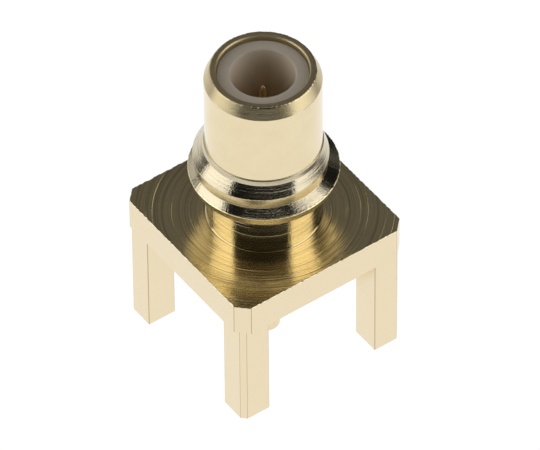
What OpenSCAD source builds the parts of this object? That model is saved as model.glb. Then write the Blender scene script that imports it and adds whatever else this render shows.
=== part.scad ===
// Straight coaxial board jack with a snap collar.
// A turned and milled body carries a barrel, a stepped collar, a square flange and four legs.
// A sleeve of insulator fills its bore, and a centre contact runs through the insulator.
// Millimetres, +Z up. The origin is on the barrel's axis, level with the ends of the legs.

/* [Flange] */
// Width of the square flange across its flat sides
flange_w = 6.35; // [5.95:0.05:7.5]
// Thickness of the flange
flange_t = 1.15; // [0.9:0.05:2]
// Length taken off each side of the flange at its cut corners
flange_corner_cut = 0.39; // [0.1:0.01:0.6]

/* [Legs] */
// Distance between the centres of neighbouring legs
leg_pitch = 5.08; // [4.6:0.02:5.2]
// Width of a square leg
leg_w = 1.0; // [0.6:0.05:1.1]
// Length of the legs below the flange
leg_len = 3.95; // [2:0.05:6]
// Length taken off each side of a leg at its outer corner
leg_corner_cut = 0.16; // [0.05:0.01:0.3]

/* [Barrel] */
// Diameter of the barrel that the plug slides over
barrel_d = 3.66; // [3.5:0.01:3.8]
// Height of the mouth above the flange
barrel_h = 6.22; // [5.5:0.02:8]
// Outer diameter of the mouth, at the top of the lead-in taper
mouth_d = 3.29; // [3:0.01:3.4]
// Height of the lead-in taper
lead_in_h = 0.4; // [0.2:0.02:1]
// Diameter of the bore through the body
bore_d = 2.87; // [2.6:0.01:2.95]
// Small chamfer inside the mouth
mouth_break = 0.04; // [0.02:0.01:0.06]

/* [Neck and collar] */
// Diameter of the neck between the flange and the collar
neck_d = 3.62; // [3.4:0.01:3.8]
// Height of the neck's straight part, from the flange to the cove under the collar
neck_h = 1.18; // [0.8:0.02:1.6]
// Height of the cove, the hollow curve from the neck out to the lip's root
cove_h = 0.5; // [0.44:0.02:0.9]
// Diameter of the collar's lip, its widest part
lip_d = 4.74; // [4.6:0.02:5.2]
// Diameter of the lip at its underside, where its wall leans in
lip_root_d = 4.5; // [4.3:0.02:4.6]
// Height of the lip's leaning wall
lip_h = 0.34; // [0.1:0.02:0.5]
// Height of the cone from the lip up to the ring
lip_cone_h = 0.2; // [0.1:0.01:0.4]
// Diameter of the collar's ring
ring_d = 4.24; // [4.2:0.02:4.5]
// Diameter of the ring at its foot, where its wall leans in
ring_root_d = 4.15; // [4:0.01:4.2]
// Height of the ring's leaning wall
ring_h = 0.4; // [0.1:0.01:0.5]
// Height of the cone from the ring up to the step
ring_cone_h = 0.42; // [0.2:0.02:0.6]
// Diameter of the small step at the foot of the barrel
step_d = 3.73; // [3.7:0.01:3.98]
// Height of the step's steep wall
step_h = 0.14; // [0.06:0.02:0.3]
// How far the step's wall flares out towards its foot
step_flare = 0.04; // [0.01:0.01:0.05]
// Height of the small cone from the step in to the barrel
step_cone_h = 0.035; // [0.02:0.005:0.12]

/* [Insulator] */
// Depth of the insulator's face below the mouth
face_depth = 0.17; // [0:0.01:0.6]
// Diameter of the insulator's open socket
socket_d = 2.05; // [1.8:0.01:2.3]
// Depth of the socket
socket_depth = 3.6; // [2.6:0.05:4]
// Chamfer at the socket's edge
socket_break = 0.02; // [0.01:0.01:0.1]
// Thickness of the web at the bottom of the socket
web_t = 0.8; // [0.4:0.05:1.2]
// Diameter of the insulator's foot, in a counterbore under the flange
foot_d = 3.4; // [3.2:0.02:3.6]
// Height of the foot
foot_h = 0.6; // [0.3:0.05:0.8]

/* [Centre contact] */
// Diameter of the pin in the socket
pin_d = 0.5; // [0.4:0.01:0.6]
// Depth of the pin's tip below the mouth
tip_depth = 0.72; // [0.4:0.02:1.4]
// Length of the pin's taper
taper_h = 1; // [0.3:0.05:1.2]
// Diameter of the pin's rounded tip
tip_d = 0.14; // [0.08:0.01:0.3]
// Diameter of the shank held in the insulator
shank_d = 1.3; // [1.1:0.02:1.6]
// Diameter of the tail that is soldered into the board
tail_d = 0.94; // [0.7:0.02:0.98]
// Chamfer at the end of the tail
tail_break = 0.07; // [0.03:0.01:0.15]

/* [Fits] */
// Radial gap between pieces that fit one in the other
fit_gap = 0.01; // [0.005:0.005:0.03]

/* [Hidden] */
$fn = 96;
over = 0.5;
flange_top = leg_len + flange_t;
mouth_z = flange_top + barrel_h;
cove_z = flange_top + neck_h;
cove_w = (lip_root_d - neck_d) / 2;
cove_r = (cove_w * cove_w + cove_h * cove_h) / (2 * cove_w);
cove_turn = 2 * atan2(cove_w, cove_h);
lip_z = cove_z + cove_h;
ring_z = lip_z + lip_h + lip_cone_h;
step_z = ring_z + ring_h + ring_cone_h;
barrel_z = step_z + step_h;
face_z = mouth_z - face_depth;
socket_z = face_z - socket_depth;
shank_top = socket_z - web_t;
seat_z = leg_len + foot_h;
tip_z = mouth_z - tip_depth;
gold = [0.83, 0.69, 0.42];
ivory = [0.93, 0.92, 0.88];

// Square of width w with a flat of length cut off each side at the corners
module cut_square(w, cut) {
    h = w / 2;
    polygon([
        for (q = [0:3], end = [0, 1])
            let (a = 90 * q, x = h - (end == 0 ? cut : 0), y = h - (end == 0 ? 0 : cut))
                [x * cos(a) + y * sin(a), y * cos(a) - x * sin(a)]
    ]);
}

// One leg with its outer corner towards +X +Y, standing on z = 0
module leg() {
    span = leg_pitch + leg_w;
    linear_extrude(flange_top - flange_t / 2)
        intersection() {
            cut_square(span, leg_corner_cut);
            translate([span / 2 - leg_w, span / 2 - leg_w]) square(leg_w);
        }
}

// Neck, cove, collar and barrel as one turned outline, from the axis outwards
module turned_outline() {
    polygon(concat(
        [
            [0, flange_top - flange_t / 2],
            [neck_d / 2, flange_top - flange_t / 2]
        ],
        [
            for (i = [0:8])
                let (a = cove_turn * i / 8)
                    [neck_d / 2 + cove_r * (1 - cos(a)), cove_z + cove_r * sin(a)]
        ],
        [
            [lip_d / 2, lip_z + lip_h],
            [ring_root_d / 2, ring_z],
            [ring_d / 2, ring_z + ring_h],
            [step_d / 2 + step_flare, step_z],
            [step_d / 2, barrel_z],
            [barrel_d / 2, barrel_z + step_cone_h],
            [barrel_d / 2, mouth_z - lead_in_h],
            [mouth_d / 2, mouth_z],
            [0, mouth_z]
        ]
    ));
}

// Bore through the body, with its chamfered mouth and the counterbore for the insulator's foot
module body_bore() {
    cylinder(h = mouth_z + over, d = bore_d);
    cylinder(h = seat_z, d = foot_d);
    translate([0, 0, mouth_z - mouth_break])
        cylinder(h = 2 * mouth_break, d1 = bore_d, d2 = bore_d + 4 * mouth_break);
}

// Turned and milled body
module body() {
    color(gold)
        difference() {
            union() {
                rotate_extrude() turned_outline();
                translate([0, 0, leg_len]) linear_extrude(flange_t) cut_square(flange_w, flange_corner_cut);
                for (q = [0:3]) rotate([0, 0, 90 * q]) leg();
            }
            body_bore();
        }
}

// Stepped sleeve with an open socket above the web and a hole for the shank below it
module insulator() {
    sleeve_r = bore_d / 2 - fit_gap;
    foot_r = foot_d / 2 - fit_gap;
    color(ivory)
        rotate_extrude()
            polygon([
                [shank_d / 2 + fit_gap, leg_len],
                [foot_r, leg_len],
                [foot_r, seat_z],
                [sleeve_r, seat_z],
                [sleeve_r, face_z],
                [socket_d / 2 + socket_break, face_z],
                [socket_d / 2, face_z - socket_break],
                [socket_d / 2, socket_z],
                [pin_d / 2 + fit_gap, socket_z],
                [pin_d / 2 + fit_gap, shank_top],
                [shank_d / 2 + fit_gap, shank_top]
            ]);
}

// Outline of the contact: tail, shank, pin, taper and a round tip drawn as an arc
module contact_outline() {
    tip_r = tip_d / 2;
    polygon(concat(
        [
            [0, 0],
            [tail_d / 2 - tail_break, 0],
            [tail_d / 2, tail_break],
            [tail_d / 2, leg_len],
            [shank_d / 2, leg_len],
            [shank_d / 2, shank_top],
            [pin_d / 2, shank_top],
            [pin_d / 2, tip_z - taper_h]
        ],
        [for (a = [0:15:90]) [tip_r * cos(a), tip_z - tip_r + tip_r * sin(a)]]
    ));
}

// Turned centre contact
module centre_contact() {
    color(gold) rotate_extrude() contact_outline();
}

body();
insulator();
centre_contact();
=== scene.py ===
"""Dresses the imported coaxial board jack: a turned gold body, a white insulator and a gold centre contact."""

import math

import bpy
import numpy as np
from bpy.props import FloatProperty, FloatVectorProperty, IntProperty, PointerProperty
from mathutils import Matrix, Vector


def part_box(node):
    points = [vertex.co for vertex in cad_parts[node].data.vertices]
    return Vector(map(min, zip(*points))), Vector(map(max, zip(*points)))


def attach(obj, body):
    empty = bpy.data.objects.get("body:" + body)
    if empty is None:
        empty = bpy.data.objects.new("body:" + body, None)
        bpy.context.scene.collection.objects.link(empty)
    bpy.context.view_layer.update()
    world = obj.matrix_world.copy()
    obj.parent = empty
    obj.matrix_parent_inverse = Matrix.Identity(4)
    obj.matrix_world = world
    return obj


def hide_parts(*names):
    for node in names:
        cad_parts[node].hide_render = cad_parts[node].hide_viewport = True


bl_info = {
    "name": "Coaxial board jack",
    "version": (1, 0, 0),
    "blender": (4, 5, 0),
    "location": "3D View > Sidebar > Board jack",
    "description": "Builds a turned coaxial board jack around its packed CAD frame",
    "category": "Object",
}

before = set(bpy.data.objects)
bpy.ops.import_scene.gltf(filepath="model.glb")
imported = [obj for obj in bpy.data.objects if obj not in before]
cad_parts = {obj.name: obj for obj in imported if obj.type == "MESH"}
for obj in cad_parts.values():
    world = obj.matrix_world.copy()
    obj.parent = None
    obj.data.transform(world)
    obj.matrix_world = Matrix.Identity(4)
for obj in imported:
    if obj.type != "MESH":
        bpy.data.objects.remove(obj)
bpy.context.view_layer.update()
BODY_LOW, BODY_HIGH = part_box("body")
INSULATOR_LOW, INSULATOR_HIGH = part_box("insulator")
_, CONTACT_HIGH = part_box("centre_contact")

MM_PER_M = 1000.0
SHARP_ANGLE = math.radians(40)
SENSOR_WIDTH = 36.0
CLIP_RANGE = (0.01, 10.0)

# Outlines: the steps of a corner's curve and of the cove, the most of a side that one corner's curve takes, the place
# of the extra point beside the curve in setbacks from the corner, the least share of its setback that a ragged corner
# keeps, how close to a corner an even step may come, and the least slope of a step that counts as slanted
CORNER_STEPS = 3
COVE_STEPS = 16
MOST_OF_SIDE = 0.3
FLAT_LEAD = 1.25
LEAST_SWING = 0.15
CLOSEST_STEP = 0.35
SLANT = 0.05

# Ragged edges: the seed of their noise, and columns to one wave of the finest noise that is left
RAGGED_SEED = 11
FINEST_WAVE = 3.5

# Direction in which the collar's ring sits off the axis
RUNOUT_SIDE = (-0.8100846, 0.5862801)

# Order of the finishes in the body's material slots
BARREL, TAPER, RIM, BORE, COLLAR, BAND, LIP, NECK, FACE, MILLED, EDGE = range(11)

# Tool marks: lines to the millimetre along the section, changes to the millimetre round the piece, depth in metres,
# and the range of the noise that makes the relief
POLISH = (6.0, 0.3, 6e-7, 0.0, 1.0)
CONTACT_LINES = (9.0, 0.5, 6e-7, 0.0, 1.0)
TAPER_LINES = (14.0, 0.3, 3e-6, 0.0, 1.0)
RIM_LINES = (12.0, 0.4, 2e-6, 0.0, 1.0)
GROOVES = (12.0, 0.25, 3e-6, 0.0, 1.0)
GRAIN = (20.0, 14.0, 4e-6, 0.0, 1.0)
LIGHT_RIDGES = (7.0, 0.06, 2.5e-6, 0.58, 0.68)
RIDGES = (7.0, 0.06, 6e-6, 0.58, 0.68)
BRUSHED = ((15.0, 0.1, 6e-6, 0.0, 1.0), (22.0, 0.6, 4e-6, 0.0, 1.0))
MILLED_DEPTH = 8e-7
INSULATOR_DEPTH = 1e-6

# Share of the gold's colour in the painted shade at the bottom of a groove, and of the insulator's in its darker
# clouds
GROOVE_SHADE_TONE = 0.4
CLOUD_TONE = 0.92

# Camera of the picture: its place, and the directions of its right, up and back sides
CAMERA_PLACE = (-0.1097035, -0.1539858, 0.2035612)
CAMERA_RIGHT = (0.8100846, -0.5862801, -0.0062057)
CAMERA_UP = (0.4286704, 0.5850221, 0.6884699)
CAMERA_BACK = (-0.4000057, -0.5603791, 0.7252383)


def length(name, description, default):
    """A property that holds a length in metres."""
    return FloatProperty(name=name, description=description, default=default, min=0.0, precision=6, unit="LENGTH")


def share(name, description, default):
    """A property that holds a number from 0 to 1."""
    return FloatProperty(name=name, description=description, default=default, min=0.0, max=1.0, subtype="FACTOR")


def tint(name, description, default):
    """A property that holds a linear colour."""
    return FloatVectorProperty(name=name, description=description, default=default, size=3, min=0.0, subtype="COLOR")


def amount(name, description, default):
    """A property that holds a plain number of zero or more."""
    return FloatProperty(name=name, description=description, default=default, min=0.0)


class JackBodySizes(bpy.types.PropertyGroup):
    """Sizes of the turned and milled body"""

    flange_width: length("Flange width", "Across the flat sides of the square flange", BODY_HIGH.x - BODY_LOW.x)
    flange_thickness: length("Flange thickness", "Thickness of the flange", 0.00115)
    flange_corner_cut: length("Flange corner cut", "Taken off each side at the flange's corners", 0.00039)
    leg_pitch: length("Leg pitch", "Between the centres of neighbouring legs", 0.00508)
    leg_width: length("Leg width", "Width of a square leg", 0.001)
    leg_length: length("Leg length", "From the flange down to the end of a leg", INSULATOR_LOW.z)
    leg_corner_cut: length("Leg corner cut", "Taken off each side at a leg's outer corner", 0.00016)
    mouth_height: length("Mouth height", "Top of the barrel above the ends of the legs", BODY_HIGH.z)
    barrel_diameter: length("Barrel diameter", "The part that the plug slides over", 0.00366)
    mouth_diameter: length("Mouth diameter", "Outside of the mouth, above the lead-in taper", 0.00329)
    lead_in_height: length("Lead-in height", "Height of the lead-in taper", 0.0004)
    bore_diameter: length("Bore diameter", "Bore through the body", 0.00287)
    mouth_break: length("Mouth break", "Small chamfer inside the mouth", 0.00004)
    neck_diameter: length("Neck diameter", "Neck between the flange and the collar", 0.00362)
    neck_height: length("Neck height", "Straight part of the neck, from the flange to the cove", 0.00118)
    cove_height: length("Cove height", "Hollow curve from the neck out to the lip's root", 0.0005)
    lip_diameter: length("Lip diameter", "The collar's widest part", 0.00474)
    lip_root_diameter: length("Lip root diameter", "The lip at its underside, where it leans in", 0.0045)
    lip_height: length("Lip height", "Leaning wall of the lip", 0.00034)
    lip_cone_height: length("Lip cone height", "Cone from the lip up to the ring", 0.0002)
    ring_diameter: length("Ring diameter", "The collar's ring", 0.00424)
    ring_root_diameter: length("Ring root diameter", "The ring at its foot, where it leans in", 0.00415)
    ring_height: length("Ring height", "Leaning wall of the ring", 0.0004)
    ring_cone_height: length("Ring cone height", "Cone from the ring up to the step", 0.00042)
    ring_runout: length("Ring runout", "How far the ring sits off the axis", 0.00009)
    step_diameter: length("Step diameter", "Small step at the foot of the barrel", 0.00373)
    step_height: length("Step height", "Steep wall of the step", 0.00014)
    step_flare: length("Step flare", "How far the step's wall flares out to its foot", 0.00004)
    step_cone_height: length("Step cone height", "Small cone from the step in to the barrel", 0.000035)
    foot_diameter: length("Foot diameter", "Counterbore for the insulator's foot", 0.0034)
    foot_height: length("Foot height", "Depth of that counterbore", 0.0006)
    fine_edge: length("Fine edge", "Radius of a crisp turned edge", 0.000012)
    soft_edge: length("Soft edge", "Radius of the collar's worn edges", 0.00003)
    flange_edge: length("Flange edge", "Radius of the flange's burred upper edge", 0.000022)
    mouth_edge: length("Mouth edge", "Radius of the mouth's worn outer edge", 0.00006)
    leg_edge: length("Leg edge", "Radius of the legs' edges", 0.000021)
    columns: IntProperty(name="Columns", description="Points round the body", default=720, min=64, max=900)


class JackCoreSizes(bpy.types.PropertyGroup):
    """Sizes of the insulator and of the centre contact"""

    face_height: length("Face height", "The insulator's face above the ends of the legs", INSULATOR_HIGH.z)
    socket_diameter: length("Socket diameter", "Open socket in the insulator", 0.00205)
    socket_depth: length("Socket depth", "Depth of the socket", 0.0036)
    socket_break: length("Socket break", "Radius of the socket's edge", 0.00003)
    web_thickness: length("Web thickness", "Bottom of the socket", 0.0008)
    pin_diameter: length("Pin diameter", "Pin in the socket", 0.0005)
    tip_height: length("Tip height", "The pin's tip above the ends of the legs", CONTACT_HIGH.z)
    taper_height: length("Taper height", "Length of the pin's taper", 0.001)
    tip_diameter: length("Tip diameter", "Rounded tip of the pin", 0.00014)
    shank_diameter: length("Shank diameter", "Shank held in the insulator", 0.0013)
    tail_diameter: length("Tail diameter", "Tail that is soldered into the board", 0.00094)
    tail_break: length("Tail break", "Chamfer at the end of the tail", 0.00007)
    fit_gap: length("Fit gap", "Radial gap between pieces that fit one in the other", 0.00001)
    columns: IntProperty(name="Columns", description="Points round each turned piece", default=192, min=32, max=512)


class JackFinishes(bpy.types.PropertyGroup):
    """Colours and gloss of the jack's finishes"""

    # Gold is the plating's own colour. The golds after it, down to Milled gold, are lighter, darker and warmer copies
    # of it, set stretch by stretch as painted light, shade and gold-on-gold reflection
    gold: tint("Gold", "Gold plating on the barrel and the contact", (0.8, 0.685, 0.455))
    # Painted shade and gold-on-gold reflection: the ring's leaning wall gets a deeper gold than the plating has
    gold_band_shaded: tint("Deep gold", "Gold plating on the ring's leaning wall", (0.64, 0.52, 0.28))
    gold_neck: tint("Neck gold", "Gold plating on the neck and the cove", (0.82, 0.71, 0.465))
    gold_lip: tint("Lip gold", "Gold plating on the lip's leaning wall", (0.98, 0.84, 0.48))
    gold_collar: tint("Collar gold", "Gold plating on the collar's cones", (0.6, 0.535, 0.385))
    gold_taper: tint("Taper gold", "Gold plating on the lead-in taper", (0.64, 0.535, 0.32))
    gold_face: tint("Face gold", "Gold plating on the flange's turned face", (0.82, 0.68, 0.38))
    # Painted shade: the mouth's flat rim gets a darker gold than the plating has
    gold_rim_shaded: tint("Rim gold", "Gold plating on the flat rim of the mouth", (0.56, 0.46, 0.27))
    # Painted shade: the wall inside the bore gets a darker gold than the plating has
    gold_bore_shaded: tint("Bore gold", "Thin, dull gold plating inside the bore", (0.44, 0.36, 0.2))
    # Painted shade: the pin down in the socket gets a darker gold than the plating has
    gold_pin_shaded: tint("Pin gold", "Thin, dull gold plating on the pin in the socket", (0.6, 0.48, 0.26))
    gold_milled: tint("Milled gold", "Gold plating on the milled sides and legs", (0.815, 0.695, 0.48))
    gold_edge: tint("Edge gold", "Gold plating along sharp edges, where dirt stays", (0.51, 0.39, 0.22))
    gold_worn: tint("Worn gold", "Gold plating where it is worn or pitted", (0.62, 0.47, 0.26))
    barrel_roughness: share("Barrel roughness", "Polished barrel", 0.14)
    taper_roughness: share("Taper roughness", "Lead-in taper", 0.3)
    rim_roughness: share("Rim roughness", "Flat rim of the mouth", 0.46)
    bore_roughness: share("Bore roughness", "Wall of the bore", 0.7)
    collar_roughness: share("Collar roughness", "Turned collar and neck", 0.15)
    band_roughness: share("Band roughness", "Leaning walls of the collar", 0.25)
    face_roughness: share("Face roughness", "Faced top of the flange", 0.16)
    milled_roughness: share("Milled roughness", "Sides of the flange and legs", 0.24)
    contact_roughness: share("Contact roughness", "Centre contact", 0.22)
    insulator: tint("Insulator", "White insulator", (0.74, 0.65, 0.53))
    # Painted shade: the insulator's face gets a darker tone than its wall
    insulator_face_shaded: tint("Insulator face", "The insulator's cut face, duller than its wall", (0.56, 0.49, 0.4))
    # Painted shade: a warmer, darker tone low in the socket, standing in for shade and the gold's reflected light
    # there
    insulator_socket_shade: tint("Deep insulator", "Insulator low in the socket, where gold shows through", (0.74, 0.58, 0.38))
    insulator_roughness: share("Insulator roughness", "Waxy surface of the insulator", 0.42)


class JackStage(bpy.types.PropertyGroup):
    """Floor, lights and camera"""

    lens: FloatProperty(name="Lens", description="Focal length of the camera", default=587.82, min=1.0, unit="CAMERA")
    floor_glow: tint("Floor glow", "Light of the pale floor near the jack", (1.02, 1.02, 1.02))
    floor_far: amount("Far floor", "Share of the glow that is left far from the jack", 0.62)
    floor_reach: length("Floor reach", "Radius of the floor's bright middle", 0.04)
    floor_dim: length("Floor dim", "Radius where the glow has faded", 0.1)
    floor_ahead: length("Floor ahead", "How far the floor reaches towards the camera", 0.16)
    floor_side: length("Floor side", "How far the floor reaches to the other sides", 0.045)
    shadow: amount("Shadow", "Share of the glow that is left in the jack's soft shadow", 0.12)
    shadow_place: length("Shadow place", "Middle of the shadow, to the right of the jack", 0.028)
    shadow_width: length("Shadow width", "Half the shadow's width", 0.016)
    shadow_depth: length("Shadow depth", "Half the shadow's depth, towards the camera", 0.018)
    softbox_left: amount("Left softbox", "Radiance of the softbox on the left", 1.7)
    softbox_right: amount("Right softbox", "Radiance of the softbox on the right", 1.7)
    fill: amount("Fill", "Radiance of the fill card behind on the left", 0.7)
    back: amount("Back", "Radiance of the dim card behind", 0.105)
    overhead: amount("Overhead", "Radiance of the card overhead", 1.0)
    room: amount("Room", "Radiance of the dark room", 0.01)
    distance: length("Light distance", "Distance of the lights", 0.3)


def ragged_waves(rows, columns, seed):
    """Smooth random waves round a closed outline, one row for each edge.

    White noise is passed through a low-pass filter in its Fourier series, which closes on itself: the wave of order
    n is kept by exp(-(n / limit)^2). The sum is scaled to unit spread and cut off at two spreads.
    """
    noise = np.random.default_rng(seed).standard_normal((rows, columns))
    series = np.fft.rfft(noise, axis=1)
    order, limit = np.arange(series.shape[1]), columns / FINEST_WAVE
    bell = np.exp(-((order / limit) ** 2)) * (order > 0)
    wave = np.fft.irfft(series * bell, n=columns, axis=1)
    return np.clip(wave / wave.std(axis=1, keepdims=True), -2.0, 2.0)


def rounded_corners(points, radii, ragged=None, closed=True):
    """Outline through corner points, with each corner turned into a curve.

    Corner P is swapped for the quadratic curve (1 - t)^2 A + 2 t (1 - t) P + t^2 B. A and B lie on its two sides,
    at radius * tan(turn / 2) from P, times one plus the ragged wave of that corner. One more point lies a little
    further out on each side, so that the flat stretches shade flat. The result is corners x points x columns x 2.
    """
    before = np.roll(points, 1, axis=0) - points
    after = np.roll(points, -1, axis=0) - points
    span_before = np.linalg.norm(before, axis=1, keepdims=True)
    span_after = np.linalg.norm(after, axis=1, keepdims=True)
    before, after = before / span_before, after / span_after
    half_turn = (math.pi - np.arccos(np.clip((before * after).sum(axis=1), -1.0, 1.0))) / 2
    room = np.minimum(span_before, span_after)[:, 0]
    if not closed:
        room[0], room[-1] = span_after[0, 0], span_before[-1, 0]
    setback = np.minimum(radii * np.tan(half_turn), MOST_OF_SIDE * room)
    if not closed:
        setback[[0, -1]] = 0.0
    t = np.linspace(0.0, 1.0, CORNER_STEPS + 1)
    toward = np.concatenate([[FLAT_LEAD], (1 - t) ** 2, [0.0]])
    away = np.concatenate([[0.0], t**2, [FLAT_LEAD]])
    swing = np.ones((len(points), 1)) if ragged is None else np.maximum(1.0 + ragged, LEAST_SWING)
    reach = setback[:, None] * swing
    move = (
        toward[None, :, None, None] * before[:, None, None, :] + away[None, :, None, None] * after[:, None, None, :]
    ) * reach[:, None, :, None]
    return points[:, None, None, :] + move


def cut_square(width, cut):
    """The eight corners of a square with its corners cut off, counter-clockwise from the +X side."""
    half = width / 2
    corner = np.array([[half, half - cut], [half - cut, half]])
    turns = np.arange(4) * math.pi / 2
    spin = np.stack([np.cos(turns), -np.sin(turns), np.sin(turns), np.cos(turns)], axis=1).reshape(4, 2, 2)
    return np.einsum("qij,kj->qki", spin, corner).reshape(8, 2)


def even_outline(corners, columns):
    """Points round a closed outline: all the given corners, and even steps of length between them.

    A point that lies closer than CLOSEST_STEP, as a share of a step, to a corner is left out.
    """
    closed = np.vstack([corners, corners[:1]])
    along = np.concatenate([[0.0], np.cumsum(np.linalg.norm(np.diff(closed, axis=0), axis=1))])
    even = np.linspace(0.0, along[-1], columns, endpoint=False)
    gap = np.abs(even[:, None] - along[None, :]).min(axis=1)
    kept = even[gap > along[-1] / columns * CLOSEST_STEP]
    marks = np.sort(np.concatenate([along[:-1], kept]))
    return np.stack([np.interp(marks, along, closed[:, 0]), np.interp(marks, along, closed[:, 1])], axis=1)


def grid_quads(rows, columns, wrap):
    """Four-cornered faces of a grid whose columns close on themselves, and whose rows do too if wrap is true."""
    row = np.arange(rows if wrap else rows - 1)[:, None]
    column = np.arange(columns)[None, :]
    beside, above = (column + 1) % columns, (row + 1) % rows
    faces = np.stack(
        [row * columns + column, row * columns + beside, above * columns + beside, above * columns + column], axis=-1
    )
    return faces.reshape(-1, 4)


def fans(rows, columns, first_pole):
    """Three-cornered faces that close the first and the last row of a grid, each on its own pole."""
    column = np.arange(columns)
    beside = (column + 1) % columns
    top = (rows - 1) * columns
    low = np.stack([np.full(columns, first_pole), beside, column], axis=1)
    high = np.stack([np.full(columns, first_pole + 1), top + column, top + beside], axis=1)
    return np.vstack([low, high])


def outward(points, quads, triangles):
    """The same faces, turned over if the volume that they enclose comes out negative."""
    halves = np.vstack([quads[:, [0, 1, 2]], quads[:, [0, 2, 3]], triangles])
    a, b, c = (points[halves[:, k]] for k in range(3))
    if (np.cross(a, b) * c).sum() < 0:
        return quads[:, ::-1], triangles[:, ::-1]
    return quads, triangles


def surface_object(name, points, quads, triangles=None, slots=None):
    """A mesh object from whole arrays of points and faces, smooth but for its sharp edges."""
    triangles = np.zeros((0, 3), int) if triangles is None else triangles
    quads, triangles = outward(points, quads, triangles)
    mesh = bpy.data.meshes.new(name)
    mesh.vertices.add(len(points))
    mesh.vertices.foreach_set("co", points.astype(np.float32).ravel())
    corners = np.concatenate([quads.ravel(), triangles.ravel()]).astype(np.int32)
    mesh.loops.add(len(corners))
    mesh.loops.foreach_set("vertex_index", corners)
    starts = np.concatenate([np.arange(len(quads)) * 4, quads.size + np.arange(len(triangles)) * 3])
    mesh.polygons.add(len(starts))
    mesh.polygons.foreach_set("loop_start", starts.astype(np.int32))
    if slots is not None:
        mesh.polygons.foreach_set("material_index", slots.astype(np.int32))
    mesh.polygons.foreach_set("use_smooth", np.ones(len(starts), dtype=bool))
    mesh.update(calc_edges=True)
    if mesh.validate():
        raise RuntimeError(f"{name}: its mesh had faces that Blender had to repair")
    mesh.set_sharp_from_angle(angle=SHARP_ANGLE)
    piece = bpy.data.objects.new(name, mesh)
    bpy.context.scene.collection.objects.link(piece)
    return piece


def turned_outline(sizes):
    """Corners of the body's half section, from under the flange up the bore, over the mouth and down the outside.

    Each row has radius, height, edge radius, raggedness of the edge, finish of the stretch that follows, and share
    of the ring's runout. The last two corners are the flange's edges, whose radius is half the flange's width.
    """
    s = sizes
    fine, soft = s.fine_edge, s.soft_edge
    flange_top = s.leg_length + s.flange_thickness
    under = flange_top + s.neck_height
    lip = under + s.cove_height
    ring = lip + s.lip_height + s.lip_cone_height
    step = ring + s.ring_height + s.ring_cone_height
    barrel = step + s.step_height
    seat = s.leg_length + s.foot_height
    foot_r, bore_r, mouth_r = s.foot_diameter / 2, s.bore_diameter / 2, s.mouth_diameter / 2
    barrel_r, step_r, ring_r = s.barrel_diameter / 2, s.step_diameter / 2, s.ring_diameter / 2
    lip_r, lip_root_r, ring_root_r = s.lip_diameter / 2, s.lip_root_diameter / 2, s.ring_root_diameter / 2
    neck_r, flange_r = s.neck_diameter / 2, s.flange_width / 2
    mouth = s.mouth_height
    return np.array(
        [
            (foot_r, s.leg_length, fine, 0.0, BARREL, 0.0),
            (foot_r, seat, fine, 0.0, BARREL, 0.0),
            (bore_r, seat, fine, 0.0, BORE, 0.0),
            (bore_r, mouth - s.mouth_break, fine, 0.0, RIM, 0.0),
            (bore_r + s.mouth_break, mouth, fine, 0.3, RIM, 0.0),
            (mouth_r, mouth, s.mouth_edge, 0.4, TAPER, 0.0),
            (barrel_r, mouth - s.lead_in_height, soft, 0.2, BARREL, 0.0),
            (barrel_r, barrel + s.step_cone_height, fine, 0.0, RIM, 0.0),
            (step_r, barrel, fine, 0.2, COLLAR, 0.0),
            (step_r + s.step_flare, step, fine, 0.2, COLLAR, 0.0),
            (ring_r, ring + s.ring_height, soft, 0.4, BAND, 1.0),
            (ring_root_r, ring, fine, 0.2, COLLAR, 1.0),
            (lip_r, lip + s.lip_height, soft, 0.4, LIP, 0.0),
            (lip_root_r, lip, fine, 0.2, NECK, 0.0),
            (neck_r, under, fine, 0.0, NECK, 0.0),
            (neck_r, flange_top, soft, 0.0, FACE, 0.0),
            (flange_r, flange_top, s.flange_edge, 0.7, MILLED, 0.0),
            (flange_r, s.leg_length, fine, 0.2, MILLED, 0.0),
        ]
    )


def cove_arc(sizes):
    """Points of the hollow curve under the collar, from the lip's root in to the neck.

    It is the arc that leaves the neck along the neck's wall. Its radius is (wide^2 + high^2) / (2 * wide), and its
    turn is twice the angle whose tangent is wide / high.
    """
    wide, high = (sizes.lip_root_diameter - sizes.neck_diameter) / 2, sizes.cove_height
    radius = (wide**2 + high**2) / (2 * wide)
    turn = np.linspace(2 * math.atan2(wide, high), 0.0, COVE_STEPS + 2)[1:-1]
    foot = sizes.leg_length + sizes.flange_thickness + sizes.neck_height
    return np.stack([sizes.neck_diameter / 2 + radius * (1 - np.cos(turn)), foot + radius * np.sin(turn)], axis=1)


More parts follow.
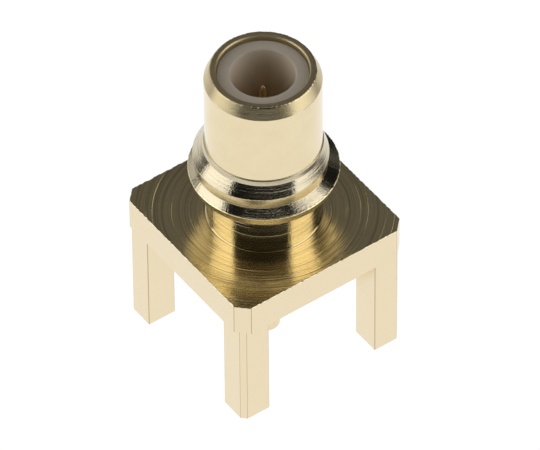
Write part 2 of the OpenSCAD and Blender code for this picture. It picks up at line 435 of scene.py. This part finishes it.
def body_shell(sizes):
    """The body without its legs: its half section carried round the axis, as one grid closed both ways.

    A column is an angle. Up to the lip, a point of the section at radius r goes to r * (cos, sin) of that angle.
    On the flange's edges it goes to the cut square's own outline, scaled by r over half the flange's width.
    """
    table = turned_outline(sizes)
    half = sizes.flange_width / 2
    square = rounded_corners(cut_square(sizes.flange_width, sizes.flange_corner_cut), np.full(8, sizes.soft_edge))
    outline = even_outline(square.reshape(-1, 2), sizes.columns)
    columns = len(outline)
    waves = ragged_waves(len(table), columns, seed=RAGGED_SEED) * table[:, 3:4]
    section = rounded_corners(table[:, :2], table[:, 2], ragged=waves)
    steps = section.shape[1]
    rows = section.reshape(-1, columns, 2)
    marks = np.repeat(table[:, 4:], steps, axis=0)
    cove = cove_arc(sizes)
    after_lip = steps * (2 + int(np.argmax(table[:, 0] == sizes.lip_diameter / 2)))
    rows = np.insert(rows, after_lip, np.broadcast_to(cove[:, None], (len(cove), columns, 2)), axis=0)
    marks = np.insert(marks, after_lip, np.broadcast_to([NECK, 0.0], (len(cove), 2)), axis=0)
    radius, height = rows[..., 0], rows[..., 1]
    angle = np.arctan2(outline[:, 1], outline[:, 0])
    circle = np.stack([np.cos(angle), np.sin(angle)], axis=1)
    on_flange = radius > (sizes.lip_diameter / 2 + half) / 2
    plan = np.where(on_flange[..., None], outline[None] / half, circle[None]) * radius[..., None]
    runout = marks[:, 1] * sizes.ring_runout
    plan = plan + runout[:, None, None] * np.array(RUNOUT_SIDE)[None, None]
    points = np.concatenate([plan, height[..., None]], axis=-1).reshape(-1, 3)
    slots = np.repeat(marks[:, :1], columns, axis=1)
    side = np.roll(outline, -1, axis=0) - outline
    # The edges of the cut corners are the short, slanted steps of the outline
    slanted = np.abs(side).min(axis=1) > SLANT * np.abs(side).max(axis=1)
    short = np.linalg.norm(side, axis=1) < sizes.soft_edge
    slots[np.ix_(slots[:, 0] == MILLED, slanted & short)] = EDGE
    quads = grid_quads(len(rows), columns, wrap=True)
    return surface_object("body", points, quads, slots=slots.ravel())


def leg_tubes(sizes):
    """Four legs: a square with one cut corner carried down a straight line, closed at both ends.

    The section at each level is the outline shrunk towards the leg's own centre by that level's inset.
    """
    half, cut, edge = sizes.leg_width / 2, sizes.leg_corner_cut, sizes.leg_edge
    plan = np.array([[half, half - cut], [half - cut, half], [-half, half], [-half, -half], [half, -half]])
    outline = rounded_corners(plan, np.full(5, edge)).reshape(-1, 2)
    top = sizes.leg_length + sizes.flange_thickness / 2
    side = np.array([[0.0, top], [half, top], [half, 0.0], [0.0, 0.0]])
    levels = rounded_corners(side, np.full(4, edge), closed=False)[1:3].reshape(-1, 2)
    rings = outline[None] * (levels[:, :1] / half)[..., None]
    rings = np.concatenate([rings, np.broadcast_to(levels[:, 1][:, None, None], rings.shape[:2] + (1,))], axis=-1)
    rows, columns = rings.shape[:2]
    poles = np.array([[0.0, 0.0, top], [0.0, 0.0, 0.0]])
    leg = np.vstack([rings.reshape(-1, 3), poles]) + np.array([sizes.leg_pitch / 2, sizes.leg_pitch / 2, 0.0])
    turns = np.arange(4) * math.pi / 2
    spin = np.zeros((4, 3, 3))
    spin[:, 0, 0], spin[:, 0, 1] = np.cos(turns), -np.sin(turns)
    spin[:, 1, 0], spin[:, 1, 1], spin[:, 2, 2] = np.sin(turns), np.cos(turns), 1.0
    points = np.einsum("qij,nj->qni", spin, leg).reshape(-1, 3)
    shift = (np.arange(4) * len(leg))[:, None, None]
    quads = (grid_quads(rows, columns, wrap=False)[None] + shift).reshape(-1, 4)
    triangles = (fans(rows, columns, rows * columns)[None] + shift).reshape(-1, 3)
    # Of the steps at each corner, those of its curve have the edge's finish
    bend = np.resize([MILLED] + CORNER_STEPS * [EDGE] + [MILLED, MILLED], columns)
    slots = np.concatenate([np.resize(bend, len(quads)), np.full(len(triangles), MILLED)])
    return surface_object("legs", points, quads, triangles, slots)


def turned_piece(name, section, radii, columns, closed):
    """A half section of radius and height carried round the axis.

    Point (r, z) at angle a goes to (r cos a, r sin a, z). An open section starts and ends on the axis, where each
    end is closed by a pole.
    """
    line = rounded_corners(section, radii, closed=closed)[:, :, 0]
    line = line.reshape(-1, 2) if closed else line[1:-1].reshape(-1, 2)
    angle = np.arange(columns) * (2 * math.pi / columns)
    rings = np.stack(
        [
            line[:, :1] * np.cos(angle),
            line[:, :1] * np.sin(angle),
            np.broadcast_to(line[:, 1:], (len(line), columns)),
        ],
        axis=-1,
    )
    points = rings.reshape(-1, 3)
    if closed:
        return surface_object(name, points, grid_quads(len(line), columns, wrap=True))
    poles = np.array([[0.0, 0.0, section[0, 1]], [0.0, 0.0, section[-1, 1]]])
    triangles = fans(len(line), columns, len(points))
    return surface_object(name, np.vstack([points, poles]), grid_quads(len(line), columns, wrap=False), triangles)


class Sheet:
    """Adds nodes to a material and wires them."""

    def __init__(self, name):
        self.material = bpy.data.materials.new(name)
        self.material.use_nodes = True
        self.tree = self.material.node_tree
        self.tree.nodes.clear()

    def add(self, kind, inputs=None, **settings):
        """A node of this kind. Each input is a number, a colour or the socket that feeds it."""
        node = self.tree.nodes.new(kind)
        for key, value in settings.items():
            setattr(node, key, value)
        for key, value in (inputs or {}).items():
            if isinstance(value, bpy.types.NodeSocket):
                self.tree.links.new(value, node.inputs[key])
            else:
                node.inputs[key].default_value = value
        return node

    def maths(self, operation, *values):
        """The result of one arithmetic step."""
        return self.add("ShaderNodeMath", dict(enumerate(values)), operation=operation).outputs[0]

    def vector(self, operation, *values, output="Vector"):
        """The result of one step on vectors."""
        return self.add("ShaderNodeVectorMath", dict(enumerate(values)), operation=operation).outputs[output]

    def millimetres(self):
        """The point on the piece, in millimetres from the jack's origin."""
        point = self.add("ShaderNodeTexCoord").outputs["Object"]
        return self.vector("MULTIPLY", point, (MM_PER_M, MM_PER_M, MM_PER_M))

    def noise(self, vector, scale, detail=2.0, rough=0.5):
        """Cloudy noise from 0 to 1."""
        inputs = {"Vector": vector, "Scale": scale, "Detail": detail, "Roughness": rough}
        return self.add("ShaderNodeTexNoise", inputs).outputs["Fac"]

    def ranged(self, value, low, high, to_low, to_high):
        """The value taken from one range to another, and held at its ends."""
        inputs = {"Value": value, "From Min": low, "From Max": high, "To Min": to_low, "To Max": to_high}
        return self.add("ShaderNodeMapRange", inputs).outputs[0]

    def blend(self, factor, first, second):
        """Two colours mixed by a factor."""
        node = self.add("ShaderNodeMix", data_type="RGBA")
        for key, value in (("Factor_Float", factor), ("A_Color", first), ("B_Color", second)):
            socket = next(x for x in node.inputs if x.identifier == key)
            if isinstance(value, bpy.types.NodeSocket):
                self.tree.links.new(value, socket)
            else:
                socket.default_value = value
        return next(x for x in node.outputs if x.identifier == "Result_Color")

    def finish(self, shader):
        """Ends the material in this shader and returns it."""
        self.add("ShaderNodeOutputMaterial", {"Surface": shader.outputs[0]})
        return self.material


def opaque(colour):
    """A colour with full alpha, as colour sockets hold it."""
    return (*colour, 1.0)


def turned_gold(name, finishes, gold, roughness, *marks, shade=0.0, anisotropy=0.0):
    """Gold plating over lathe work.

    Each tool mark has the five numbers that are listed with the marks: a wide range of noise gives grooves, and a
    narrow one gives lone ridges. The lines follow radius minus height, which runs along the outside of the section.
    Shade is how far the bottoms of the first marks go towards a darker gold, as painted shade. Pits show most
    where the clouds are.
    """
    sheet = Sheet(name)
    point = sheet.millimetres()
    radius = sheet.vector("LENGTH", sheet.vector("MULTIPLY", point, (1.0, 1.0, 0.0)), output="Value")
    xyz = sheet.add("ShaderNodeSeparateXYZ", {0: point})
    travel = sheet.maths("SUBTRACT", radius, xyz.outputs["Z"])
    along = sheet.add(
        "ShaderNodeCombineXYZ", {"X": xyz.outputs["X"], "Y": xyz.outputs["Y"], "Z": travel}
    ).outputs[0]
    cloud, pits = sheet.noise(point, 1.3, detail=3.0), sheet.noise(point, 24.0)
    relief, tools = {}, []
    for lines, changes, depth, low, high in marks:
        tool = sheet.noise(sheet.vector("MULTIPLY", along, (changes, changes, lines)), 1.0, rough=0.6)
        ridge = sheet.ranged(tool, low, high, 0.0, 1.0)
        bump = sheet.add("ShaderNodeBump", {"Strength": 1.0, "Distance": depth, "Height": ridge, **relief})
        relief = {"Normal": bump.outputs[0]}
        tools.append(tool)
    pitting, patches = sheet.ranged(pits, 0.62, 0.72, 0.0, 0.7), sheet.ranged(cloud, 0.4, 0.65, 0.1, 1.0)
    haze = sheet.ranged(cloud, 0.35, 0.7, 0.0, 0.12)
    worn = sheet.maths("MAXIMUM", sheet.maths("MULTIPLY", pitting, patches), haze)
    colour = sheet.blend(worn, opaque(gold), opaque(finishes.gold_worn))
    # Painted shade: the bottoms of the first tool marks are blended towards a darker gold
    groove_shade = sheet.ranged(tools[0], 0.36, 0.5, shade, 0.0)
    colour = sheet.blend(groove_shade, colour, opaque([GROOVE_SHADE_TONE * x for x in gold]))
    gloss = sheet.ranged(sheet.maths("ADD", tools[0], cloud), 0.7, 1.3, roughness * 0.85, roughness * 1.15)
    inputs = {"Base Color": colour, "Metallic": 1.0, "Roughness": gloss, **relief}
    if anisotropy:
        tangent = sheet.add("ShaderNodeTangent", direction_type="RADIAL", axis="Z").outputs[0]
        inputs.update({"Anisotropic": anisotropy, "Anisotropic Rotation": 0.25, "Tangent": tangent})
    return sheet.finish(sheet.add("ShaderNodeBsdfPrincipled", inputs))


def milled_gold(name, finishes, gold):
    """Gold plating over milled sides: cutter lines that run along the side, faint clouds and a few pits."""
    sheet = Sheet(name)
    point = sheet.millimetres()
    strokes = sheet.noise(sheet.vector("MULTIPLY", point, (1.2, 1.2, 30.0)), 1.0, detail=3.0, rough=0.6)
    cloud, pits = sheet.noise(point, 1.1, detail=3.0), sheet.noise(point, 22.0)
    pitting, patches = sheet.ranged(pits, 0.68, 0.76, 0.0, 0.6), sheet.ranged(cloud, 0.45, 0.65, 0.0, 1.0)
    worn = sheet.maths("MULTIPLY", pitting, patches)
    colour = sheet.blend(worn, opaque(gold), opaque(finishes.gold_worn))
    rough = finishes.milled_roughness
    gloss = sheet.ranged(sheet.maths("ADD", strokes, cloud), 0.7, 1.3, rough * 0.8, rough * 1.2)
    relief = sheet.add("ShaderNodeBump", {"Strength": 1.0, "Distance": MILLED_DEPTH, "Height": strokes})
    inputs = {"Base Color": colour, "Metallic": 1.0, "Roughness": gloss, "Normal": relief.outputs[0]}
    return sheet.finish(sheet.add("ShaderNodeBsdfPrincipled", inputs))


def waxy_insulator(name, finishes, sizes):
    """White, slightly see-through insulator: turned lines, faint clouds, a face painted darker as shade, and warm
    painted shade in the socket.

    The warm painted shade grows from just below the face to beyond the socket's middle. Heights are in millimetres.
    """
    sheet = Sheet(name)
    point = sheet.millimetres()
    height = sheet.add("ShaderNodeSeparateXYZ", {0: point}).outputs["Z"]
    face = sizes.face_height * MM_PER_M
    socket_shade_from, socket_shade_to = face - 0.15, face - 2.2
    face_shade_from, face_shade_to = face - 0.03, face - 0.01
    pale, rough = finishes.insulator, finishes.insulator_roughness
    cloud = sheet.ranged(sheet.noise(point, 1.6, detail=3.0), 0.35, 0.65, 0.0, 0.35)
    colour = sheet.blend(cloud, opaque(pale), opaque([CLOUD_TONE * x for x in pale]))
    # Painted shade, warm with reflected gold, grows down the socket
    colour = sheet.blend(sheet.ranged(height, socket_shade_from, socket_shade_to, 0.0, 1.0), colour, opaque(finishes.insulator_socket_shade))
    # Painted shade: the top of the insulator turns to the darker face tone
    colour = sheet.blend(sheet.ranged(height, face_shade_from, face_shade_to, 0.0, 1.0), colour, opaque(finishes.insulator_face_shaded))
    lines = sheet.noise(sheet.vector("MULTIPLY", point, (2.0, 2.0, 24.0)), 1.0)
    gloss = sheet.ranged(lines, 0.3, 0.7, rough * 0.9, rough * 1.15)
    relief = sheet.add("ShaderNodeBump", {"Strength": 1.0, "Distance": INSULATOR_DEPTH, "Height": lines})
    inputs = {
        "Base Color": colour,
        "Roughness": gloss,
        "Normal": relief.outputs[0],
        "IOR": 1.36,
        "Subsurface Weight": 0.3,
        "Subsurface Radius": (1.0, 0.8, 0.55),
        "Subsurface Scale": 0.0004,
    }
    return sheet.finish(sheet.add("ShaderNodeBsdfPrincipled", inputs))


class JACK_OT_body(bpy.types.Operator):
    """Build the turned and milled body, with its flange, legs, collar and barrel"""

    bl_idname = "board_jack.body"
    bl_label = "Build body"

    def execute(self, context):
        """Unites the turned shell with the legs, then gives each stretch its finish."""
        sizes, f = context.scene.jack_body, context.scene.jack_finishes
        shell, legs = body_shell(sizes), leg_tubes(sizes)
        cut = {"shade": 0.2, "anisotropy": 0.5}
        faced = {"shade": 0.45, "anisotropy": 0.8}
        for material in (
            turned_gold("gold_barrel", f, f.gold, f.barrel_roughness, POLISH),
            turned_gold("gold_taper", f, f.gold_taper, f.taper_roughness, TAPER_LINES, GRAIN),
            turned_gold("gold_rim_shaded", f, f.gold_rim_shaded, f.rim_roughness, RIM_LINES, GRAIN),
            turned_gold("gold_bore_shaded", f, f.gold_bore_shaded, f.bore_roughness, RIM_LINES, GRAIN),
            turned_gold("gold_collar", f, f.gold_collar, f.collar_roughness, GROOVES, GRAIN, LIGHT_RIDGES, **cut),
            turned_gold("gold_band", f, f.gold_band_shaded, f.band_roughness, GROOVES, GRAIN),
            turned_gold("gold_lip", f, f.gold_lip, f.band_roughness, GROOVES, GRAIN),
            turned_gold("gold_neck", f, f.gold_neck, f.collar_roughness, GROOVES, GRAIN, RIDGES, **cut),
            turned_gold("gold_face", f, f.gold_face, f.face_roughness, *BRUSHED, RIDGES, **faced),
            milled_gold("gold_milled", f, f.gold_milled),
            milled_gold("gold_edge", f, f.gold_edge),
        ):
            shell.data.materials.append(material)
            legs.data.materials.append(material)
        union = shell.modifiers.new("legs", "BOOLEAN")
        union.operation, union.solver, union.object = "UNION", "MANIFOLD", legs
        context.view_layer.update()
        joined = bpy.data.meshes.new_from_object(shell.evaluated_get(context.evaluated_depsgraph_get()))
        shell.modifiers.clear()
        if len(joined.polygons) < len(shell.data.polygons) // 2:
            raise RuntimeError("the legs could not be united with the flange")
        shell.data = joined
        bpy.data.objects.remove(legs)
        joined.name = "body"
        joined.set_sharp_from_angle(angle=SHARP_ANGLE)
        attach(shell, "root")
        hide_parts("body")
        return {"FINISHED"}


class JACK_OT_insulator(bpy.types.Operator):
    """Build the white insulator with its open socket"""

    bl_idname = "board_jack.insulator"
    bl_label = "Build insulator"

    def execute(self, context):
        """Carries the insulator's closed half section round the axis."""
        body, core = context.scene.jack_body, context.scene.jack_core
        sleeve_r = body.bore_diameter / 2 - core.fit_gap
        foot_r = body.foot_diameter / 2 - core.fit_gap
        socket_r = core.socket_diameter / 2
        hole_r = core.pin_diameter / 2 + core.fit_gap
        shank_r = core.shank_diameter / 2 + core.fit_gap
        low, seat = body.leg_length, body.leg_length + body.foot_height
        floor = core.face_height - core.socket_depth
        shank_top = floor - core.web_thickness
        section = np.array(
            [
                (shank_r, low),
                (foot_r, low),
                (foot_r, seat),
                (sleeve_r, seat),
                (sleeve_r, core.face_height),
                (socket_r, core.face_height),
                (socket_r, floor),
                (hole_r, floor),
                (hole_r, shank_top),
                (shank_r, shank_top),
            ]
        )
        radii = np.full(len(section), body.soft_edge)
        radii[np.all(section == (socket_r, core.face_height), axis=1)] = core.socket_break
        piece = turned_piece("insulator", section, radii, core.columns, closed=True)
        piece.data.materials.append(waxy_insulator("insulator_white", context.scene.jack_finishes, core))
        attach(piece, "root")
        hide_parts("insulator")
        return {"FINISHED"}


class JACK_OT_centre_contact(bpy.types.Operator):
    """Build the gold centre contact, from its tapered tip to its solder tail"""

    bl_idname = "board_jack.centre_contact"
    bl_label = "Build centre contact"

    def execute(self, context):
        """Carries the contact's open half section round the axis.

        The round tip is drawn as two short slopes, which are softened with the other edges. Above the shank the
        gold is painted darker, as shade down in the socket.
        """
        body, core = context.scene.jack_body, context.scene.jack_core
        tail_r, shank_r, pin_r = core.tail_diameter / 2, core.shank_diameter / 2, core.pin_diameter / 2
        shank_top = core.face_height - core.socket_depth - core.web_thickness
        section = np.array(
            [
                (0.0, 0.0),
                (tail_r - core.tail_break, 0.0),
                (tail_r, core.tail_break),
                (tail_r, body.leg_length),
                (shank_r, body.leg_length),
                (shank_r, shank_top),
                (pin_r, shank_top),
                (pin_r, core.tip_height - core.taper_height),
                (core.tip_diameter / 2, core.tip_height - core.tip_diameter / 3),
                (core.tip_diameter / 5, core.tip_height),
                (0.0, core.tip_height),
            ]
        )
        radii = np.full(len(section), body.soft_edge)
        piece = turned_piece("centre_contact", section, radii, core.columns, closed=False)
        f = context.scene.jack_finishes
        for name, colour in (("gold_contact", f.gold), ("gold_pin_shaded", f.gold_pin_shaded)):
            piece.data.materials.append(turned_gold(name, f, colour, f.contact_roughness, CONTACT_LINES))
        centres = np.empty(3 * len(piece.data.polygons))
        piece.data.polygons.foreach_get("center", centres)
        # Painted shade: the faces above the shank get the darker pin gold
        piece.data.polygons.foreach_set("material_index", (centres[2::3] > shank_top).astype(np.int32))
        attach(piece, "root")
        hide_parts("centre_contact")
        return {"FINISHED"}


def light_card(name, stage, radiance, azimuth, wide, low, high, lean=0.0, roll=0.0):
    """Adds a soft rectangular light that stands beside the jack, leans away from it and is rolled in its own plane.

    Its middle line lies at this azimuth, turned to the right of the camera. At the height of the jack it spans
    the angle wide, and along the middle line it reaches from the elevation low to high. A point at height s along
    the leaning card lies at distance + s sin(lean) from the axis and at height s cos(lean). The roll, about the
    card's own middle, carries its top away from the camera. All angles are in degrees. The card's power is
    radiance times pi times its area.
    """
    a, tilt = math.radians(azimuth), math.radians(lean)
    ahead = Vector((CAMERA_BACK[0], CAMERA_BACK[1], 0.0)).normalized()
    right = Vector((CAMERA_RIGHT[0], CAMERA_RIGHT[1], 0.0)).normalized()
    outwards = ahead * math.cos(a) + right * math.sin(a)
    upwards = outwards * math.sin(tilt) + Vector((0.0, 0.0, math.cos(tilt)))
    ends = [
        stage.distance * math.tan(math.radians(x)) / (math.cos(tilt) - math.sin(tilt) * math.tan(math.radians(x)))
        for x in (low, high)
    ]
    lamp = bpy.data.lights.new(name, "AREA")
    lamp.shape = "RECTANGLE"
    lamp.size = 2 * stage.distance * math.tan(math.radians(wide / 2))
    lamp.size_y = ends[1] - ends[0]
    lamp.energy = radiance * math.pi * lamp.size * lamp.size_y
    card = bpy.data.objects.new(name, lamp)
    middle = outwards * stage.distance + upwards * (ends[0] + ends[1]) / 2 + Vector((0.0, 0.0, BODY_HIGH.z / 2))
    side = upwards.cross(outwards).normalized()
    turn = Matrix((side, upwards, side.cross(upwards))).transposed().to_4x4()
    spin = Matrix.Rotation(-math.copysign(math.radians(roll), azimuth), 4, "Z")
    card.matrix_world = Matrix.Translation(middle) @ turn @ spin
    card.visible_camera = False
    bpy.context.scene.collection.objects.link(card)


def glowing_floor(stage):
    """Lays a pale disc under the legs that glows evenly near the jack and fades with distance from it.

    The jack's soft shadow is an ellipse on its right, dark in the middle half and fading out to its edge. Both the
    fading and the shadow show only in what the jack reflects: the camera itself sees an even floor.
    """
    columns, rings = 96, np.array([0.4, 0.6, 0.8, 1.0])
    angle = np.arange(columns) * (2 * math.pi / columns)
    ahead = np.array(CAMERA_BACK[:2]) / math.hypot(*CAMERA_BACK[:2])
    right = np.array([-ahead[1], ahead[0]])
    reach = np.where(np.cos(angle) > 0, stage.floor_ahead, stage.floor_side)
    edge = np.outer(reach * np.cos(angle), ahead) + np.outer(stage.floor_side * np.sin(angle), right)
    disc = np.concatenate([rings[:, None, None] * edge[None], np.zeros((len(rings), columns, 1))], axis=-1)
    points = np.vstack([disc.reshape(-1, 3), np.zeros((1, 3))])
    centre = len(points) - 1
    column = np.arange(columns)
    middle = np.stack([np.full(columns, centre), column, (column + 1) % columns], axis=1)
    floor = surface_object("floor", points, grid_quads(len(rings), columns, wrap=False)[:, ::-1], middle)
    sheet = Sheet("floor_pale")
    point = sheet.add("ShaderNodeTexCoord").outputs["Object"]
    away = sheet.vector("LENGTH", point, output="Value")
    fade = sheet.ranged(away, stage.floor_reach, stage.floor_dim, 1.0, stage.floor_far)
    aside = sheet.vector("DOT_PRODUCT", point, (*right, 0.0), output="Value")
    forward = sheet.vector("DOT_PRODUCT", point, (*ahead, 0.0), output="Value")
    across = sheet.maths("DIVIDE", sheet.maths("SUBTRACT", aside, stage.shadow_place), stage.shadow_width)
    deep = sheet.maths("DIVIDE", forward, stage.shadow_depth)
    squares = [sheet.maths("POWER", x, 2.0) for x in (across, deep)]
    spread = sheet.maths("SQRT", sheet.maths("ADD", *squares))
    fade = sheet.maths("MULTIPLY", fade, sheet.ranged(spread, 0.5, 1.0, stage.shadow, 1.0))
    seen = sheet.add("ShaderNodeLightPath").outputs["Is Camera Ray"]
    strength = sheet.maths("MAXIMUM", fade, seen)
    floor.data.materials.append(
        sheet.finish(sheet.add("ShaderNodeEmission", {"Color": opaque(stage.floor_glow), "Strength": strength}))
    )


class JACK_OT_stage(bpy.types.Operator):
    """Set the pale floor, the soft lights and the camera"""

    bl_idname = "board_jack.stage"
    bl_label = "Set the stage"

    def execute(self, context):
        """Makes the floor, the light cards, the dark room and the camera."""
        stage = context.scene.jack_stage
        glowing_floor(stage)
        light_card(
            "softbox_left", stage, stage.softbox_left,
            azimuth=-84.0, wide=54.0, low=-6.0, high=55.0, lean=5.0, roll=20.0,
        )
        light_card(
            "softbox_right", stage, stage.softbox_right,
            azimuth=79.0, wide=55.0, low=-10.0, high=57.0, roll=4.0,
        )
        light_card("fill_card", stage, stage.fill, azimuth=-135.0, wide=44.0, low=-2.0, high=44.0)
        light_card("back_card", stage, stage.back, azimuth=180.0, wide=90.0, low=15.0, high=70.0)
        light_card("top_card", stage, stage.overhead, azimuth=0.0, wide=60.0, low=76.0, high=90.0, lean=-15.0)
        room = bpy.data.worlds.new("room")
        room.use_nodes = True
        background = room.node_tree.nodes["Background"]
        seen = room.node_tree.nodes.new("ShaderNodeLightPath")
        level = room.node_tree.nodes.new("ShaderNodeMath")
        level.operation = "MAXIMUM"
        level.inputs[1].default_value = stage.room
        room.node_tree.links.new(seen.outputs["Is Camera Ray"], level.inputs[0])
        room.node_tree.links.new(level.outputs[0], background.inputs["Strength"])
        background.inputs["Color"].default_value = (1.0, 1.0, 1.0, 1.0)
        context.scene.world = room
        lens = bpy.data.cameras.new("camera")
        lens.lens, lens.sensor_width, lens.sensor_fit = stage.lens, SENSOR_WIDTH, "HORIZONTAL"
        lens.clip_start, lens.clip_end = CLIP_RANGE
        camera = bpy.data.objects.new("camera", lens)
        turn = Matrix((CAMERA_RIGHT, CAMERA_UP, CAMERA_BACK)).transposed()
        camera.matrix_world = Matrix.Translation(CAMERA_PLACE) @ turn.to_4x4()
        context.scene.collection.objects.link(camera)
        context.scene.camera = camera
        context.scene.view_settings.view_transform = "Standard"
        context.scene.view_settings.look = "None"
        return {"FINISHED"}


class JACK_PT_panel(bpy.types.Panel):
    """Lists the jack's sizes, finishes and build steps"""

    bl_idname = "JACK_PT_panel"
    bl_label = "Coaxial board jack"
    bl_space_type = "VIEW_3D"
    bl_region_type = "UI"
    bl_category = "Board jack"

    def draw(self, context):
        """Draws every value, then one button for each step."""
        for group in (
            context.scene.jack_body,
            context.scene.jack_core,
            context.scene.jack_finishes,
            context.scene.jack_stage,
        ):
            box = self.layout.box()
            for name in group.__annotations__:
                box.prop(group, name)
        for step in STEPS:
            self.layout.operator(step.bl_idname)


STEPS = (JACK_OT_stage, JACK_OT_body, JACK_OT_insulator, JACK_OT_centre_contact)
GROUPS = {
    "jack_body": JackBodySizes,
    "jack_core": JackCoreSizes,
    "jack_finishes": JackFinishes,
    "jack_stage": JackStage,
}


def register():
    """Registers the classes and hangs the settings on the scene."""
    for kind in (*GROUPS.values(), *STEPS, JACK_PT_panel):
        bpy.utils.register_class(kind)
    for name, group in GROUPS.items():
        setattr(bpy.types.Scene, name, PointerProperty(type=group))


def unregister():
    """Takes the settings off the scene and the classes out again."""
    for name in GROUPS:
        delattr(bpy.types.Scene, name)
    for kind in reversed((*GROUPS.values(), *STEPS, JACK_PT_panel)):
        bpy.utils.unregister_class(kind)


def main():
    register()
    bpy.ops.board_jack.stage()
    bpy.ops.board_jack.body()
    bpy.ops.board_jack.insulator()
    bpy.ops.board_jack.centre_contact()


if __name__ == "__main__":
    main()
